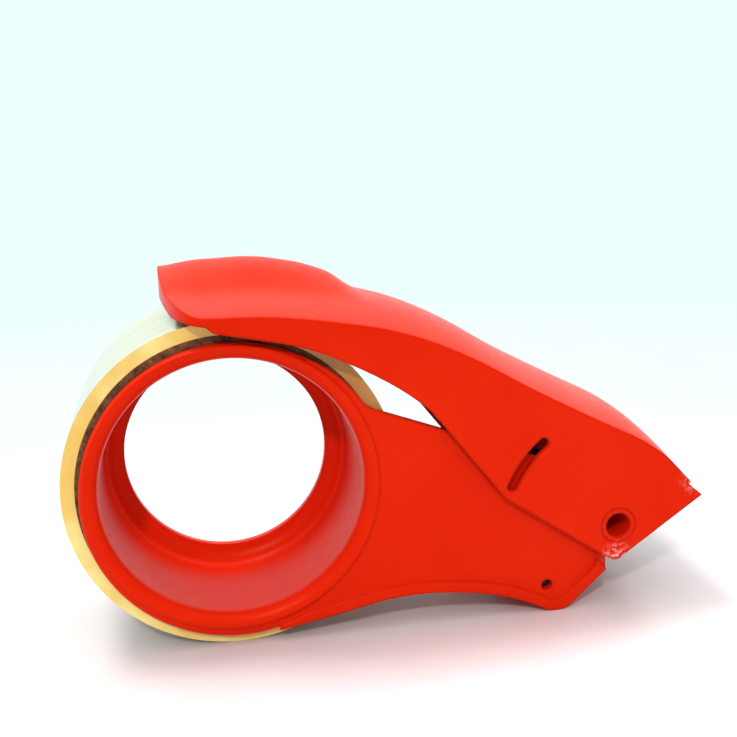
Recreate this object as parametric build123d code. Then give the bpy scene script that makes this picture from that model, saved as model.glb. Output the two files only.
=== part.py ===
from build123d import *
import os
from math import ceil, cos, radians, sin, sqrt

# Hand-held tape dispenser for 48 mm packing tape on a 3-inch core.
# The frame: origin on the hub's axis, in the middle of the tape's width. +Y runs along the
# hub from the ring side to the open side, +X points to the blade, +Z is up. The tool stands
# on the tape roll and on the foot of its holder, so the ground is at z = ground_z.

# ---------------------------------------------------------------- roll of tape
tape_width = 48.0
core_bore_r = 38.1
core_wall = 2.8
tape_build = 3.65           # thickness of the tape wound on the core

# ---------------------------------------------------------------- holder
hub_slack = 0.9             # core bore radius minus hub radius
hub_rest = 0.5              # gap left under the hub, in the core
hub_wall = 2.2
hub_depth = 37.8            # from the ring's rim to the end wall
end_wall = 2.4
end_hole_r = 29.5
end_round = 5.0
flange_overlap = 2.5        # flange radius minus core bore radius
flange_x = 0.6              # the flange is not quite centred on the hub
flange_z = -1.2
side_gap = 0.4              # tape to cheek, each side
plate = 2.2
flange_round = 1.4
rim_width = 4.0
rim_proud = 0.6
rim_round = 0.3
mouth_round = 3.6
bead_width = 3.1
bead_proud = 1.0
web = 2.2                   # cross walls between the cheeks
boss_r = 8.0
ear_r = 4.2

# ---------------------------------------------------------------- pivot and rollers
tube_r = 4.95
tube_bore_r = 3.6
running = 0.08
press = 0.02
clip_r = 7.0
clip = 1.0
feed_r = 8.6
feed_end_gap = 0.9
groove_depth = 0.5
groove_width = 1.6
groove_count = 5
bar_r = 1.58
bar_recess = 2.6            # from the cheek's outer face to the bar's end
bar_boss_r = 3.4
bar_boss = 3.2              # how far the boss stands in from the cheek

# ---------------------------------------------------------------- lever
lever_gap = 0.5             # bead to lever wall
lever_wall = 2.0
lever_web = 2.4
slot_r = 33.9
slot_low = 25.1             # degrees above the horizontal, seen from the pivot
slot_high = 49.8
slot_width = 3.1
peg_r = 1.0
peg_angle = 48.4
brake_gap = 0.35
rib = 2.0
rib_pitch = 15.0
lip_step = 0.6
lip_length = 5.6

# ---------------------------------------------------------------- blade
blade_t = 0.6
blade_length = 51.0
blade_width = 8.5
blade_stand_out = 1.9
tooth_pitch = 3.0
tooth_depth = 1.8
blade_slope = 42.0          # degrees below the horizontal
rivet_r = 1.25
rivet_head_r = 2.3
rivet_head = 0.9
rivet_grip = 1.4            # how far the shank goes up into the blade's seat
rivet_pitch = 30.0

# ---------------------------------------------------------------- drawn tape
film = 0.3
film_gap = 0.3
film_tail = 7.0

# ---------------------------------------------------------------- derived
roll_r = core_bore_r + core_wall + tape_build
hub_r = core_bore_r - hub_slack
hub_bore_r = hub_r - hub_wall
roll_z = hub_slack - hub_rest
ground_z = roll_z - roll_r
flange_r = core_bore_r + flange_overlap
half_tape = tape_width / 2
cheek_in = half_tape + side_gap
cheek_out = cheek_in + plate
rim_y = cheek_out + rim_proud
wall_in = cheek_out + bead_proud + lever_gap
half_lever = wall_in + lever_wall

# The side outlines are drawn for a roll of this radius and grow with the roll.
drawn_roll_r = 44.55
grow = roll_r / drawn_roll_r


def at(x, z):
    return (x * grow, z * grow)


pivot_x, pivot_z = at(105.9, -19.4)
bar_x, bar_z = at(86.2, -36.6)
foot_z = ground_z


# ---------------------------------------------------------------- helpers
def slab(outline, y0, y1):
    """An outline drawn in X and Z, as a solid between two Y positions."""
    face = Plane(origin=(0, y1, 0), x_dir=(1, 0, 0), z_dir=(0, -1, 0)) * outline
    return extrude(face, amount=y1 - y0)


def disc(x, z, radius, y0, y1):
    return slab(Pos(x, z) * Circle(radius), y0, y1)


def ring(x, z, outer, inner, y0, y1):
    return disc(x, z, outer, y0, y1) - disc(x, z, inner, y0, y1)


def rims(shape, radius, y):
    """Round edges of that radius in the plane at y."""
    circles = shape.edges().filter_by(GeomType.CIRCLE)
    return [e for e in circles if abs(e.radius - radius) < 0.01 and abs(e.center().Y - y) < 0.01]


def from_pivot(radius, degrees):
    """A point seen from the pivot, measured up from the horizontal towards the hub."""
    a = radians(degrees)
    return (pivot_x - radius * cos(a), pivot_z + radius * sin(a))


def on_boss(degrees):
    a = radians(degrees)
    return (pivot_x + boss_r * cos(a), pivot_z + boss_r * sin(a))


# ---------------------------------------------------------------- holder
def cheek_outline():
    """Side plate from the ring to the pivot, without the ring itself."""
    ring_top = at(20.9, 33.9)
    ring_side = at(34.6, 22.0)
    neck = at(40.2, 18.0)
    shoulder = at(100.0, -4.5)
    front_top = at(103.6, -29.0)
    front = at(103.6, -33.2)
    toe_front = (at(92.4, 0)[0], foot_z + 0.9)
    toe = (at(89.3, 0)[0], foot_z)
    toe_back = (at(86.0, 0)[0], foot_z + 0.35)
    ring_low = at(10.0, -40.7)
    edges = ThreePointArc(ring_top, at(29.9, 27.6), ring_side)
    edges += ThreePointArc(ring_side, at(36.9, 19.6), neck)
    edges += Polyline(neck, shoulder, on_boss(50))
    edges += ThreePointArc(on_boss(50), on_boss(-20), on_boss(-95))
    edges += Polyline(on_boss(-95), front_top, front, toe_front)
    edges += ThreePointArc(toe_front, toe, toe_back)
    edges += ThreePointArc(toe_back, at(75.5, -38.9), at(62.7, -35.9))
    edges += ThreePointArc(at(62.7, -35.9), at(50.2, -34.7), at(37.9, -35.5))
    edges += ThreePointArc(at(37.9, -35.5), at(24.0, -38.3), ring_low)
    edges += Polyline(ring_low, (0, 0), ring_top)
    return make_face(edges)


def foot_outline():
    """Closed front corner between the cheeks: sole, toe and front wall."""
    cheek = cheek_outline()
    core = offset(cheek, amount=-web)
    low = Pos(*at(90.0, -40.0)) * Rectangle(2 * at(14.0, 0)[0], at(0, 22.0)[1])
    return (cheek - core) & low


def bead_outline():
    """Band along the plate's low and front edges, from the ring to the lever's chin."""
    cheek = cheek_outline()
    front_end = at(103.6, -33.2)
    front_inside = at(98.3, -27.2)
    low_side = Polyline(front_inside, front_end, at(125.0, -33.2), at(125.0, -70.0))
    low_side += Polyline(at(125.0, -70.0), at(0, -70.0), at(0, -27.2), front_inside)
    band = (cheek - offset(cheek, amount=-bead_width)) & make_face(low_side)
    return band - Pos(flange_x, flange_z) * Circle(flange_r - flange_round)


def cavity_profile(hub_end):
    """Half section of the opening through the hub: flared mouth, bore, end wall and its hole."""
    mouth_r = hub_bore_r + mouth_round
    mouth_y = mouth_round - rim_y
    mouth_mid = (mouth_r - mouth_round * sin(radians(45)), mouth_y - mouth_round * sin(radians(45)))
    bore_end = (hub_bore_r, hub_end - end_wall - end_round)
    floor_start = (hub_bore_r - end_round, hub_end - end_wall)
    edges = Polyline((0, -rim_y - 1), (mouth_r, -rim_y - 1), (mouth_r, -rim_y))
    edges += ThreePointArc((mouth_r, -rim_y), mouth_mid, (hub_bore_r, mouth_y))
    edges += Line((hub_bore_r, mouth_y), bore_end)
    edges += RadiusArc(bore_end, floor_start, -end_round)
    edges += Polyline(floor_start, (end_hole_r, hub_end - end_wall), (end_hole_r, hub_end + 1))
    edges += Polyline((end_hole_r, hub_end + 1), (0, hub_end + 1), (0, -rim_y - 1))
    return edges


def make_holder():
    flange = disc(flange_x, flange_z, flange_r, -cheek_out, -cheek_in)
    flange = fillet(rims(flange, flange_r, -cheek_out), flange_round)
    body = flange + slab(cheek_outline(), -cheek_out, -cheek_in)
    bead = slab(bead_outline(), -cheek_out - bead_proud, -cheek_in)
    body += bead

    # rim, hub and end wall
    body += ring(0, 0, hub_bore_r + rim_width, hub_bore_r, -rim_y, -cheek_in)
    hub_end = -rim_y + hub_depth + end_wall
    body += disc(0, 0, hub_r, -cheek_in, hub_end)
    body -= revolve(make_face(cavity_profile(hub_end)), axis=Axis.Y)

    # open side: a short cheek in front of the roll, with an ear for the stop peg
    front_part = Pos(*at(106.0, -15.0)) * Rectangle(2 * at(34.0, 0)[0], 2 * at(0, 60.0)[1])
    ear = Pos(*from_pivot(slot_r, peg_angle)) * Circle(ear_r)
    body += slab((cheek_outline() & front_part) + ear, cheek_in, cheek_out)

    # cross walls
    body += slab(foot_outline(), -cheek_out, cheek_out)
    rear_top = at(72.0, -2.0)
    rear_low = at(72.0, -37.5)
    rear_height = rear_top[1] - rear_low[1]
    rear = Pos(rear_low[0] + web / 2, rear_low[1] + rear_height / 2) * Rectangle(web, rear_height)
    body += slab(rear, -cheek_in, cheek_in)

    # bosses that carry the guide bar
    body += disc(bar_x, bar_z, bar_boss_r, -cheek_in, bar_boss - cheek_in)
    body += disc(bar_x, bar_z, bar_boss_r, cheek_in - bar_boss, cheek_in)

    # holes
    body -= disc(pivot_x, pivot_z, tube_r + press, -cheek_out - 1, cheek_out + 1)
    body -= disc(bar_x, bar_z, bar_r + press, -cheek_out - 2, cheek_out + 2)
    peg_x, peg_z = from_pivot(slot_r, peg_angle)
    body -= disc(peg_x, peg_z, peg_r + press, cheek_in - 1, cheek_out + 1)

    return fillet(rims(body, hub_bore_r + rim_width, -rim_y), rim_round)


# ---------------------------------------------------------------- pins, tube and roller
def make_pivot_tube():
    return ring(pivot_x, pivot_z, tube_r, tube_bore_r, -half_lever, half_lever)


def make_clips():
    inner = tube_r + press
    near = ring(pivot_x, pivot_z, clip_r, inner, -cheek_out - 0.1 - clip, -cheek_out - 0.1)
    far = ring(pivot_x, pivot_z, clip_r, inner, cheek_out + 0.1, cheek_out + 0.1 + clip)
    return Compound(children=[near.solid(), far.solid()])


def make_feed_roller():
    half = cheek_in - feed_end_gap
    body = ring(pivot_x, pivot_z, feed_r, tube_r + running, -half, half)
    pitch = 2 * half / (groove_count + 1)
    for i in range(groove_count):
        y = (i - (groove_count - 1) / 2) * pitch
        cut = ring(pivot_x, pivot_z, feed_r + 1, feed_r - groove_depth, y - groove_width / 2, y + groove_width / 2)
        body -= cut
    return body


def make_guide_bar():
    half = cheek_out - bar_recess
    return disc(bar_x, bar_z, bar_r, -half, half)


def make_stop_peg():
    x, z = from_pivot(slot_r, peg_angle)
    return disc(x, z, peg_r, cheek_in, half_lever)


# ---------------------------------------------------------------- lever
# Stations along the lever: x, height of its side edge, rise of its crown, height of the
# palm rest on top of the crown.
stations = [
    (-16.5, 48.6, 3.2, 5.0),
    (-5.0, 46.7, 4.4, 7.0),
    (8.0, 46.3, 5.0, 7.0),
    (20.0, 45.0, 5.2, 6.3),
    (31.0, 43.1, 5.4, 4.2),
    (40.0, 41.3, 5.4, 0.0),
    (50.0, 38.2, 5.4, 0.0),
    (62.7, 32.5, 5.2, 0.0),
    (81.8, 21.4, 4.6, 0.0),
    (99.0, 12.0, 4.6, 0.0),
    (113.0, 4.6, 4.4, 0.0),
    (120.0, -0.6, 3.3, 0.0),
    (126.4, -7.4, 2.0, 0.0),
    (133.0, -13.9, 0.7, 0.0),
]
section_pitch = 5.0         # the lever's cross sections are no further apart than this
rest_share = 0.62           # half-width of the palm rest over half-width of the lever


def crown(t, rise, rest):
    """Height above the side edge at t, from -1 to 1 across the lever."""
    height = rise * (1 - abs(t) ** 2.4)
    if abs(t) < rest_share:
        height += rest * (1 - (t / rest_share) ** 2) ** 2
    return height


def station_slope(i, column):
    """Slope of a column at station i, level at a peak, so that no height overshoots."""
    if i == 0 or i == len(stations) - 1:
        return 0.0 if i == 0 else steepness(i - 1, column)
    before = steepness(i - 1, column)
    after = steepness(i, column)
    if before * after <= 0:
        return 0.0
    return 2 * before * after / (before + after)


def steepness(i, column):
    rise = stations[i + 1][column] - stations[i][column]
    return rise / (stations[i + 1][0] - stations[i][0])


def between_stations(i, u, column):
    """Smooth value of a column between stations i and i + 1, with u from 0 to 1."""
    span = stations[i + 1][0] - stations[i][0]
    start = stations[i][column] * (1 + 2 * u) * (1 - u) ** 2
    start += station_slope(i, column) * span * u * (1 - u) ** 2
    end = stations[i + 1][column] * (3 - 2 * u) * u ** 2
    return start + end - station_slope(i + 1, column) * span * (1 - u) * u ** 2


def lever_sections():
    """x, edge, rise and rest at evenly spaced cross sections."""
    rows = []
    for i in range(len(stations) - 1):
        span = stations[i + 1][0] - stations[i][0]
        steps = ceil(span / section_pitch)
        for k in range(steps):
            u = k / steps
            row = [stations[i][0] + u * span]
            row += [between_stations(i, u, column) for column in (1, 2, 3)]
            rows.append(row)
    return rows + [list(stations[-1])]


def lever_block(half_width, drop, floor):
    """A solid under the lever's crowned top, lowered by drop."""
    across = [-1, -0.86, -0.68, -0.5, -0.3, 0, 0.3, 0.5, 0.68, 0.86, 1]
    sections = []
    for x, edge, rise, rest in lever_sections():
        sx = x * grow
        top = [
            (t * half_width, grow * edge - drop + crown(t * half_width / half_lever, rise, rest))
            for t in across
        ]
        outline = Spline(*top)
        outline += Polyline(top[-1], (half_width, floor), (-half_width, floor), top[0])
        plane = Plane(origin=(sx, 0, 0), x_dir=(0, 1, 0), z_dir=(1, 0, 0))
        sections.append(plane * make_face(outline))
    return loft(sections)


def lever_side():
    """Side outline of the lever. Its top is left open above the crowned web."""
    rear = at(-16.0, 49.2)
    rear_low = at(-13.0, 45.9)
    heel_top = at(-4.7, 44.4)
    window = [at(-2.8, 42.8), at(6.3, 40.8), at(18.9, 37.8), at(33.1, 31.6), at(45.9, 23.8), at(53.4, 17.5)]
    knee = at(73.2, -8.3)
    chin = at(104.9, -29.5)
    chin_front = at(107.4, -28.5)
    tip = at(131.0, -12.6)
    edges = Polyline(at(-40.0, 49.2), rear, rear_low, heel_top, window[0])
    edges += Spline(*window)
    edges += Polyline(window[-1], knee, at(103.2, -28.9))
    edges += ThreePointArc(at(103.2, -28.9), chin, chin_front)
    edges += Polyline(chin_front, tip, at(131.0, 90.0), at(-40.0, 90.0), at(-40.0, 49.2))
    return make_face(edges)


def rear_plan(inset):
    """Plan view: the palm rest ends in half an ellipse."""
    start_x = at(-5.0, 0)[0]
    long = Pos(start_x + 100, 0) * Rectangle(200, 4 * half_lever)
    end = Pos(start_x, 0) * Ellipse(10.8 * grow - inset, half_lever + 0.01 - inset)
    return long + end


def make_lever():
    low = -60.0 * grow
    block = lever_block(half_lever, 0, low)
    hollow = lever_block(wall_in, lever_web, low - 5)
    side = slab(lever_side(), -half_lever - 1, half_lever + 1)
    plan = Pos(0, 0, low - 10) * extrude(rear_plan(0), amount=200 * grow)
    inner_plan = Pos(0, 0, low - 10) * extrude(rear_plan(lever_wall), amount=200 * grow)
    body = ((block & plan) - (hollow & inner_plan)) & side

    # ribs that press on the tape
    rib_span = Pos(*at(8.0, 55.0)) * Rectangle(at(30.0, 0)[0], at(0, 30.0)[1])
    roll_space = disc(0, roll_z, roll_r + brake_gap, -half_tape - 1, half_tape + 1)
    for i in (-1, 0, 1):
        y = i * rib_pitch
        body += slab(rib_span, y - rib / 2, y + rib / 2) & block
    body -= roll_space

    # hinge holes and travel slots, in both walls
    body -= disc(pivot_x, pivot_z, tube_r + running, -half_lever - 1, half_lever + 1)
    arc = ThreePointArc(
        from_pivot(slot_r, slot_low),
        from_pivot(slot_r, (slot_low + slot_high) / 2),
        from_pivot(slot_r, slot_high),
    )
    body -= slab(SlotArc(arc, height=slot_width), -half_lever - 1, half_lever + 1)

    # seat for the blade across the nose, with blind holes for its rivets
    seat = Pos(blade_stand_out - blade_width / 2, 0, -lever_web / 2)
    seat *= Box(blade_width, 2 * wall_in + lever_wall, lever_web)
    body += ((lip_plane() * seat) & block) & side
    for y in (-rivet_pitch / 2, rivet_pitch / 2):
        body -= blade_plane() * Pos(rivet_x(), y) * Cylinder(rivet_r + press, 2 * (rivet_grip + press))

    # stepped lip over the blade
    body -= lip_plane() * (Pos(0, 0, 5.0) * Box(2 * lip_length, 3 * half_lever, 10.0))
    return body


# ---------------------------------------------------------------- blade
def lip_plane():
    """Plane on the stepped lip: local X runs out towards the teeth, local Z off its top."""
    a = radians(blade_slope)
    x, z = at(131.0, -12.3)
    normal = (sin(a), 0, cos(a))
    return Plane(origin=(x, 0, z - lip_step), x_dir=(cos(a), 0, -sin(a)), z_dir=normal)


def blade_plane():
    """Top face of the blade, under the lip."""
    return lip_plane().offset(-lever_web)


def make_blade():
    back = blade_stand_out - blade_width
    root = blade_stand_out - tooth_depth
    half = blade_length / 2
    count = int(blade_length / tooth_pitch)
    points = [(back, -half), (root, -half)]
    for i in range(count):
        y = -half + i * tooth_pitch
        points += [(blade_stand_out, y + tooth_pitch / 2), (root, y + tooth_pitch)]
    points += [(back, half), (back, -half)]
    strip = make_face(Polyline(*points))
    for y in (-rivet_pitch / 2, rivet_pitch / 2):
        strip -= Pos(rivet_x(), y) * Circle(rivet_r + press)
    return extrude(blade_plane() * strip, amount=-blade_t)


def rivet_x():
    return blade_stand_out - blade_width / 2 - 1.4


def make_rivets():
    rivets = []
    for y in (-rivet_pitch / 2, rivet_pitch / 2):
        spot = blade_plane() * Pos(rivet_x(), y, 0)
        shank = spot * Pos(0, 0, (rivet_grip - blade_t) / 2) * Cylinder(rivet_r, blade_t + rivet_grip)
        head = spot * Pos(0, 0, -blade_t - rivet_head / 2) * Cylinder(rivet_head_r, rivet_head)
        rivets.append((shank + head).solid())
    return Compound(children=rivets)


# ---------------------------------------------------------------- roll of tape
def make_core():
    return ring(0, roll_z, core_bore_r + core_wall, core_bore_r, -half_tape, half_tape)


def make_winding():
    return ring(0, roll_z, roll_r, core_bore_r + core_wall, -half_tape, half_tape)


def make_drawn_tape():
    """Tape on its way from the top of the roll, over the feed roller, to the blade."""
    outer = roll_r + film_gap
    small = feed_r + film_gap
    dx = pivot_x
    dz = pivot_z - roll_z
    span = sqrt(dx * dx + dz * dz)
    # unit vector along the centres, then the normal of the common outside tangent
    ux, uz = dx / span, dz / span
    lean = (outer - small) / span
    rise = sqrt(1 - lean * lean)
    nx = lean * ux - rise * uz
    nz = lean * uz + rise * ux
    start = (outer * nx, roll_z + outer * nz)
    meet = (pivot_x + small * nx, pivot_z + small * nz)
    over = (pivot_x + small * cos(radians(38)), pivot_z + small * sin(radians(38)))
    leave = (pivot_x + small, pivot_z)
    tail = (leave[0], leave[1] - film_tail)
    inner_edges = [Line(start, meet), ThreePointArc(meet, over, leave), Line(leave, tail)]
    big = small + film
    start_o = (start[0] + film * nx, start[1] + film * nz)
    meet_o = (pivot_x + big * nx, pivot_z + big * nz)
    over_o = (pivot_x + big * cos(radians(38)), pivot_z + big * sin(radians(38)))
    leave_o = (pivot_x + big, pivot_z)
    tail_o = (leave_o[0], tail[1])
    outer_edges = [Line(start_o, meet_o), ThreePointArc(meet_o, over_o, leave_o), Line(leave_o, tail_o)]
    edges = inner_edges + outer_edges + [Line(start, start_o), Line(tail, tail_o)]
    return slab(make_face(edges), -half_tape, half_tape)


# ---------------------------------------------------------------- write the parts
parts = {
    "holder_frame": make_holder(),
    "pivot_tube": make_pivot_tube(),
    "pivot_clips": make_clips(),
    "feed_roller": make_feed_roller(),
    "guide_bar": make_guide_bar(),
    "stop_peg": make_stop_peg(),
    "cover_lever": make_lever(),
    "blade": make_blade(),
    "blade_rivets": make_rivets(),
    "tape_core": make_core(),
    "tape_winding": make_winding(),
    "drawn_tape": make_drawn_tape(),
}

os.makedirs("parts", exist_ok=True)
for name, shape in parts.items():
    export_step(shape, "parts/" + name + ".step")
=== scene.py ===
from math import cos, pi, radians, sin

import bpy
from mathutils import Matrix, Vector


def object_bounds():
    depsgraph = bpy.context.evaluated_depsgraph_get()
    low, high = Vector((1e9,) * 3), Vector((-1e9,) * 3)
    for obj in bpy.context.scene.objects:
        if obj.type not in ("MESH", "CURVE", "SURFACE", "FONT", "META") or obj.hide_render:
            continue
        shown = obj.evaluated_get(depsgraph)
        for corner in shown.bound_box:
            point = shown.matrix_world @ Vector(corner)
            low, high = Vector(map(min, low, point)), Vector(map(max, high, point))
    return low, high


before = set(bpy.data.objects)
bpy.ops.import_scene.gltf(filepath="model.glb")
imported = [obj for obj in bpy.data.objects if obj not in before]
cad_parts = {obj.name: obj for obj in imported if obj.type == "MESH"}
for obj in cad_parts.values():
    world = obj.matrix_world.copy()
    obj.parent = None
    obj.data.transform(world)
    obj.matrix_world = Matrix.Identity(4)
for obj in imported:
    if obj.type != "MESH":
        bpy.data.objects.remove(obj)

MM = 0.001
scene = bpy.context.scene
scene.view_settings.view_transform = "Standard"
cad_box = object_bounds()

# ---------------------------------------------------------------- camera
EYE = Vector((-11.41, -301.02, 93.99)) * MM
YAW = 10.449
PITCH = 12.546
TILT = 2.0
LENS = 53.195
SENSOR = 36.0
NEAR_CLIP = 0.01


def make_camera():
    """Hand-held view from the ring side, a little above and to the left of the tool."""
    yaw, pitch = radians(YAW), radians(PITCH)
    ahead = Vector((sin(yaw) * cos(pitch), cos(yaw) * cos(pitch), -sin(pitch)))
    right = Vector((cos(yaw), -sin(yaw), 0))
    up = right.cross(ahead)
    turn = Matrix.Rotation(radians(TILT), 3, "Y")
    basis = Matrix((turn @ right, turn @ up, turn @ -ahead)).transposed()
    camera = bpy.data.objects.new("camera", bpy.data.cameras.new("camera"))
    camera.data.sensor_width = SENSOR
    camera.data.lens = LENS
    camera.data.clip_start = NEAR_CLIP
    camera.matrix_world = Matrix.Translation(EYE) @ basis.to_4x4()
    scene.collection.objects.link(camera)
    scene.camera = camera


make_camera()


# ---------------------------------------------------------------- node helpers
BEVEL_SAMPLES = 6


class Graph:
    """A material's or world's nodes, made and joined by name."""

    def __init__(self, tree):
        self.tree = tree

    def add(self, kind, settings=None, **inputs):
        """A new node. Inputs are numbers, colours or another node's output socket."""
        node = self.tree.nodes.new(kind)
        for key, value in (settings or {}).items():
            setattr(node, key, value)
        for key, value in inputs.items():
            self.feed(node, key.replace("_", " "), value)
        return node

    def feed(self, node, key, value):
        socket = node.inputs[int(key)] if key.isdigit() else node.inputs[key]
        if isinstance(value, bpy.types.NodeSocket):
            self.tree.links.new(value, socket)
        else:
            socket.default_value = value

    def place(self):
        """Object coordinates: metres, fixed to the piece."""
        return self.add("ShaderNodeTexCoord").outputs["Object"]

    def noise(self, vector, scale, detail=3.0, rough=0.5):
        node = self.add("ShaderNodeTexNoise", Vector=vector, Scale=scale, Detail=detail, Roughness=rough)
        return node.outputs["Fac"]

    def stretch(self, vector, factors):
        node = self.add("ShaderNodeMapping", Vector=vector, Scale=factors)
        return node.outputs["Vector"]

    def between(self, value, low, high, to_low=0.0, to_high=1.0):
        """Value mapped from low..high to to_low..to_high, held at the ends."""
        settings = {"interpolation_type": "SMOOTHSTEP"}
        node = self.add("ShaderNodeMapRange", settings)
        for i, number in enumerate((value, low, high, to_low, to_high)):
            self.feed(node, str(i), number)
        return node.outputs[0]

    def math(self, kind, a, b=0.0):
        node = self.add("ShaderNodeMath", {"operation": kind})
        self.feed(node, "0", a)
        self.feed(node, "1", b)
        return node.outputs[0]

    def blend(self, factor, a, b):
        """Colour a where factor is 0, b where it is 1."""
        node = self.add("ShaderNodeMix", {"data_type": "RGBA"})
        self.feed(node, "0", factor)
        self.feed(node, "6", a)
        self.feed(node, "7", b)
        return node.outputs[2]

    def near(self, vector, centre, radius):
        """1 at a centre, falling to 0 at the radius."""
        node = self.add("ShaderNodeVectorMath", {"operation": "DISTANCE"})
        self.feed(node, "0", vector)
        self.feed(node, "1", centre)
        return self.between(node.outputs["Value"], 0.0, radius, 1.0, 0.0)

    def bump(self, height, depth, strength=1.0, edge=0.0):
        """Surface normal with this relief, and with sharp edges rounded by the edge radius."""
        node = self.add("ShaderNodeBump", Height=height, Distance=depth, Strength=strength)
        if edge > 0:
            soft = self.add("ShaderNodeBevel", {"samples": BEVEL_SAMPLES}, Radius=edge)
            self.feed(node, "Normal", soft.outputs["Normal"])
        return node.outputs["Normal"]


def rgba(r, g, b):
    return (r, g, b, 1.0)


def new_material(name, **shader):
    """An empty material with its shader. The numbers given are the same all over it."""
    material = bpy.data.materials.new(name)
    material.use_nodes = True
    graph = Graph(material.node_tree)
    bsdf = material.node_tree.nodes["Principled BSDF"]
    for key, value in shader.items():
        bsdf.inputs[key.replace("_", " ")].default_value = value
    return material, graph, bsdf


# ---------------------------------------------------------------- materials
# places the plastic is scuffed, with how far each scuff spreads: the nose's tip and the chin
WEAR_SPOTS = [
    (Vector((128.5, -28.5, -7.5)) * MM, 6 * MM),
    (Vector((105.5, -30.1, -29.0)) * MM, 6 * MM),
]
RED = rgba(0.65, 0.0130, 0.0010)
RED_PALE = rgba(0.69, 0.0165, 0.0015)
RED_SHEEN = rgba(1.0, 0.45, 0.25)
SCRATCH_TINT = rgba(0.95, 0.30, 0.22)
SCUFF_TINT = rgba(0.95, 0.62, 0.55)
FRAME_EDGE = 1.2 * MM
LEVER_EDGE = 1.5 * MM
AMBER_DARK = rgba(0.70, 0.36, 0.04)
AMBER_LIGHT = rgba(0.90, 0.72, 0.19)
AMBER_STREAK = rgba(0.88, 0.76, 0.26)
# painted shade: the red-brown the roll's sides are darkened to on their front half
AMBER_PAINTED_SHADE = rgba(0.45, 0.13, 0.015)
FILM_CLEAR = rgba(0.44, 0.44, 0.30)
FILM_YELLOW = rgba(0.38, 0.34, 0.19)


def moulded_plastic(name, edge):
    """Red polypropylene: even colour, a faint moulding ripple, hairline scratches, pale scuffs."""
    shader = {"IOR": 1.4, "Specular_IOR_Level": 0.2, "Specular_Tint": RED_SHEEN}
    material, g, bsdf = new_material(name, **shader)
    place = g.place()
    cloud = g.noise(place, 28.0, 3.0)
    colour = g.blend(g.between(cloud, 0.35, 0.7), RED, RED_PALE)
    hair = g.noise(g.stretch(place, (60.0, 300.0, 1900.0)), 1.0, 4.0, 0.65)
    hair_cross = g.noise(g.stretch(place, (1500.0, 300.0, 260.0)), 1.0, 3.0, 0.6)
    scratch = g.math("MAXIMUM", g.between(hair, 0.66, 0.78), g.between(hair_cross, 0.69, 0.8))
    wear = 0.0
    for centre, radius in WEAR_SPOTS:
        wear = g.math("MAXIMUM", g.near(place, centre, radius), wear)
    grain = g.between(g.noise(place, 900.0, 5.0, 0.7), 0.47, 0.62)
    scuff = g.math("MULTIPLY", wear, grain)
    colour = g.blend(g.math("MULTIPLY", scratch, 0.03), colour, SCRATCH_TINT)
    colour = g.blend(g.math("MULTIPLY", scuff, 0.75), colour, SCUFF_TINT)
    g.feed(bsdf, "Base Color", colour)
    ripple = g.noise(place, 420.0, 4.0, 0.6)
    rough = g.between(ripple, 0.3, 0.7, 0.28, 0.36)
    rough = g.math("ADD", rough, g.math("MULTIPLY", g.math("MAXIMUM", scratch, scuff), 0.04))
    g.feed(bsdf, "Roughness", rough)
    height = g.math("ADD", g.math("MULTIPLY", ripple, 0.06), g.noise(place, 60.0, 1.0))
    height = g.math("SUBTRACT", height, g.math("MULTIPLY", scratch, 0.03))
    g.feed(bsdf, "Normal", g.bump(height, 0.00004, 0.5, edge))
    return material


def wound_tape():
    """Roll of tape: amber film edges in fine layers at the sides, clear glossy film outside. Painted shade
    darkens the sides to red-brown over the roll's front half (+X).
    """
    material, g, bsdf = new_material("wound_tape", IOR=1.47, Coat_Weight=0.25, Coat_Roughness=0.12)
    place = g.place()
    axes = g.add("ShaderNodeSeparateXYZ", Vector=place)
    normal = g.add("ShaderNodeSeparateXYZ", Vector=g.add("ShaderNodeTexCoord").outputs["Normal"])
    side = g.between(g.math("ABSOLUTE", normal.outputs["Y"]), 0.6, 0.85)
    flat = g.add("ShaderNodeCombineXYZ", X=axes.outputs["X"], Z=axes.outputs["Z"])
    radius = g.add("ShaderNodeVectorMath", {"operation": "LENGTH"}, Vector=flat.outputs[0]).outputs["Value"]
    outward = g.add("ShaderNodeCombineXYZ", X=radius).outputs[0]
    layer = g.noise(g.stretch(outward, (9000.0, 1.0, 1.0)), 1.0, 3.0, 0.7)
    streak = g.noise(place, 70.0, 4.0, 0.6)
    amber = g.blend(g.between(layer, 0.3, 0.7), AMBER_DARK, AMBER_LIGHT)
    amber = g.blend(g.between(streak, 0.35, 0.7), amber, AMBER_STREAK)
    # painted shade: the sides' amber darkens towards +X, where the roll sits in the frame's red shade
    painted_shade_amount = g.math("MULTIPLY", g.between(axes.outputs["X"], 0.0, 0.035), 0.75)
    amber = g.blend(painted_shade_amount, amber, AMBER_PAINTED_SHADE)
    across = g.noise(g.stretch(place, (25.0, 420.0, 25.0)), 1.0, 4.0, 0.6)
    clear = g.blend(g.between(across, 0.4, 0.75), FILM_CLEAR, FILM_YELLOW)
    g.feed(bsdf, "Base Color", g.blend(side, clear, amber))
    g.feed(bsdf, "Roughness", g.between(side, 0.0, 1.0, 0.14, 0.42))
    height = g.math("ADD", g.math("MULTIPLY", layer, side), g.math("MULTIPLY", across, 0.5))
    g.feed(bsdf, "Normal", g.bump(height, 0.00005, 0.8))
    return material


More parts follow.
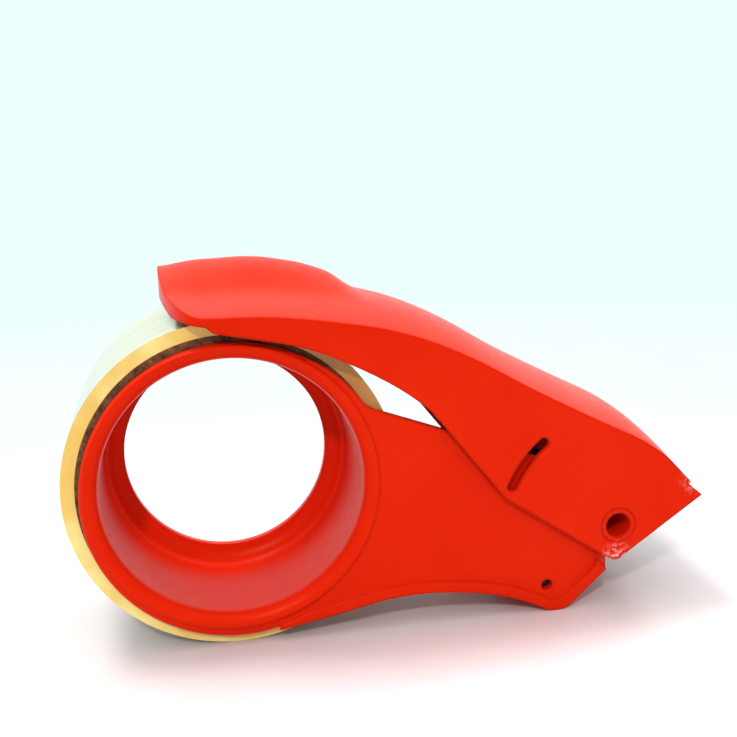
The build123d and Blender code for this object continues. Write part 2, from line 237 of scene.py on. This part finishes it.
def core_board():
    """Spiral-wound board: plies, fibres and one slanted seam."""
    material, g, bsdf = new_material("core_board", Specular_IOR_Level=0.25)
    place = g.place()
    fibre = g.noise(g.stretch(place, (500.0, 140.0, 500.0)), 1.0, 5.0, 0.7)
    speck = g.noise(place, 1400.0, 2.0)
    axes = g.add("ShaderNodeSeparateXYZ", Vector=place)
    turn = g.math("ARCTAN2", axes.outputs["Z"], axes.outputs["X"])
    pitch = g.math("ADD", g.math("MULTIPLY", axes.outputs["Y"], 260.0), turn)
    wave = g.math("SINE", g.math("MULTIPLY", pitch, 0.5))
    seam = g.between(g.math("ABSOLUTE", wave), 0.0, 0.05, 1.0, 0.0)
    colour = g.blend(g.between(fibre, 0.3, 0.7), rgba(0.055, 0.020, 0.008), rgba(0.19, 0.085, 0.035))
    colour = g.blend(g.math("MULTIPLY", g.between(speck, 0.6, 0.75), 0.5), colour, rgba(0.33, 0.19, 0.10))
    colour = g.blend(g.math("MULTIPLY", seam, 0.6), colour, rgba(0.03, 0.012, 0.005))
    g.feed(bsdf, "Base Color", colour)
    g.feed(bsdf, "Roughness", g.between(fibre, 0.3, 0.7, 0.75, 0.95))
    g.feed(bsdf, "Normal", g.bump(g.math("SUBTRACT", fibre, seam), 0.0002, 0.8))
    return material


def tape_film():
    """Clear film off the roll, faintly yellow with its adhesive."""
    material, g, bsdf = new_material("tape_film", IOR=1.47, Transmission_Weight=0.85)
    place = g.place()
    band = g.noise(g.stretch(place, (18.0, 500.0, 18.0)), 1.0, 4.0, 0.6)
    streaks = g.between(band, 0.35, 0.7)
    g.feed(bsdf, "Base Color", g.blend(streaks, rgba(0.97, 0.97, 0.92), rgba(0.93, 0.90, 0.74)))
    g.feed(bsdf, "Roughness", g.between(band, 0.3, 0.8, 0.06, 0.2))
    g.feed(bsdf, "Normal", g.bump(band, 0.00004, 0.7))
    return material


def brushed(name, direction, base, rough):
    """Steel with fine lines along one direction and a few darker smudges."""
    material, g, bsdf = new_material(name, Metallic=1.0)
    place = g.place()
    line = g.noise(g.stretch(place, direction), 1.0, 4.0, 0.65)
    smudge = g.noise(place, 180.0, 3.0)
    dark = tuple(channel * 0.62 for channel in base)
    colour = g.blend(g.between(line, 0.3, 0.7), rgba(*dark), rgba(*base))
    colour = g.blend(g.math("MULTIPLY", g.between(smudge, 0.55, 0.75), 0.3), colour, rgba(0.33, 0.30, 0.27))
    g.feed(bsdf, "Base Color", colour)
    g.feed(bsdf, "Roughness", g.between(line, 0.3, 0.7, rough, rough + 0.16))
    g.feed(bsdf, "Normal", g.bump(line, 0.00003, 0.6))
    return material


def roller_plastic():
    """Dark roller plastic with polished bands where the film runs."""
    material, g, bsdf = new_material("roller_plastic")
    place = g.place()
    band = g.noise(g.stretch(place, (30.0, 700.0, 30.0)), 1.0, 4.0, 0.6)
    grain = g.noise(place, 1600.0, 3.0)
    streaks = g.between(band, 0.35, 0.7)
    g.feed(bsdf, "Base Color", g.blend(streaks, rgba(0.018, 0.018, 0.02), rgba(0.05, 0.05, 0.052)))
    g.feed(bsdf, "Roughness", g.between(band, 0.3, 0.7, 0.32, 0.55))
    g.feed(bsdf, "Normal", g.bump(grain, 0.00004, 0.6))
    return material


frame_plastic = moulded_plastic("moulded_plastic", FRAME_EDGE)
lever_plastic = moulded_plastic("lever_plastic", LEVER_EDGE)
winding = wound_tape()
board = core_board()
film = tape_film()
pin_steel = brushed("bare_steel", (900.0, 60.0, 900.0), (0.66, 0.66, 0.67), 0.22)
blade_steel = brushed("blade_steel", (120.0, 1800.0, 120.0), (0.72, 0.72, 0.74), 0.16)
dark_steel = brushed("blackened_steel", (900.0, 60.0, 900.0), (0.07, 0.06, 0.06), 0.35)
roller = roller_plastic()

LOOKS = {
    "holder_frame": frame_plastic,
    "cover_lever": lever_plastic,
    "pivot_tube": frame_plastic,
    "feed_roller": roller,
    "tape_core": board,
    "tape_winding": winding,
    "drawn_tape": film,
    "blade": blade_steel,
    "blade_rivets": pin_steel,
    "guide_bar": dark_steel,
    "stop_peg": pin_steel,
    "pivot_clips": pin_steel,
}


# ---------------------------------------------------------------- CAD nodes
for name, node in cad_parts.items():
    node.data.materials.clear()
    node.data.materials.append(LOOKS[name])


# ---------------------------------------------------------------- surroundings
BACKDROP = rgba(0.847, 1.0, 1.0)
ROOM = rgba(0.56, 0.54, 0.54)
OVERHEAD = 2.7
FLOOR_SIDES = 48
FLOOR_MIDDLE = (0.05, 0.0, 0.0)
FLOOR_FADE = 0.9
# centre and reach of the painted pink glow on the floor around the tool
PAINTED_GLOW_MIDDLE = (0.06, -0.05, 0.0)
PAINTED_GLOW_REACH = 0.32
LIGHT_AIM = Vector((0.04, 0, 0))


def studio_world():
    """Bright backdrop behind and above the tool, greyer room on the camera's side."""
    world = bpy.data.worlds.new("studio")
    scene.world = world
    world.use_nodes = True
    g = Graph(world.node_tree)
    sky = world.node_tree.nodes["Background"]
    axes = g.add("ShaderNodeSeparateXYZ", Vector=g.add("ShaderNodeTexCoord").outputs["Generated"])
    back = g.between(axes.outputs["Y"], -0.35, 0.55)
    g.feed(sky, "Color", g.blend(back, ROOM, BACKDROP))
    g.feed(sky, "Strength", g.between(axes.outputs["Z"], 0.35, 0.95, 1.0, OVERHEAD))


def floor_material():
    """Pale floor with a painted pink glow under the tool, for red light passing through and bouncing off
    the plastic, that melts into the backdrop away from it.
    """
    material, g, bsdf = new_material("pale_floor", Specular_IOR_Level=0.2)
    place = g.place()
    grain = g.noise(place, 40.0, 3.0)
    far = g.blend(g.between(grain, 0.3, 0.7), rgba(0.385, 0.435, 0.440), rgba(0.395, 0.445, 0.450))
    # painted glow: pinkish floor near the tool, so its shadows look lit red by the plastic
    painted_glow = g.blend(g.between(grain, 0.3, 0.7), rgba(0.610, 0.530, 0.530), rgba(0.625, 0.545, 0.545))
    g.feed(bsdf, "Base Color", g.blend(g.near(place, PAINTED_GLOW_MIDDLE, PAINTED_GLOW_REACH), far, painted_glow))
    g.feed(bsdf, "Roughness", g.between(grain, 0.3, 0.7, 0.55, 0.65))
    clear = g.add("ShaderNodeBsdfTransparent").outputs[0]
    reach = g.near(place, FLOOR_MIDDLE, FLOOR_FADE)
    mix = g.add("ShaderNodeMixShader")
    g.feed(mix, "0", g.between(reach, 0.25, 0.75))
    g.feed(mix, "1", clear)
    g.feed(mix, "2", bsdf.outputs[0])
    output = material.node_tree.nodes["Material Output"]
    g.feed(output, "Surface", mix.outputs[0])
    return material


def make_floor():
    """Round floor of one metre radius, level with the tool's lowest point."""
    mesh = bpy.data.meshes.new("floor")
    turns = [2 * pi * i / FLOOR_SIDES for i in range(FLOOR_SIDES)]
    rim = [(cos(turn), sin(turn), 0) for turn in turns]
    mesh.from_pydata(rim, [], [list(range(FLOOR_SIDES))])
    floor = bpy.data.objects.new("floor", mesh)
    scene.collection.objects.link(floor)
    floor.location.z = cad_box[0][2]
    floor.visible_glossy = False
    mesh.materials.append(floor_material())


def soft_light(name, place, size, watts, mirrored=False):
    """Square area light. Only a mirrored one shows in glossy surfaces."""
    lamp = bpy.data.lights.new(name, "AREA")
    lamp.size = size
    lamp.energy = watts
    light = bpy.data.objects.new(name, lamp)
    light.visible_glossy = mirrored
    scene.collection.objects.link(light)
    light.location = place
    aim = LIGHT_AIM - light.location
    light.rotation_euler = aim.to_track_quat("-Z", "Y").to_euler()


studio_world()
make_floor()
soft_light("key", (-0.70, 0.45, 2.30), 0.75, 46.0, mirrored=True)
soft_light("front", (-0.35, -1.20, 0.95), 0.10, 9.0, mirrored=True)
soft_light("back", (1.20, 0.80, 1.60), 0.45, 12.0)
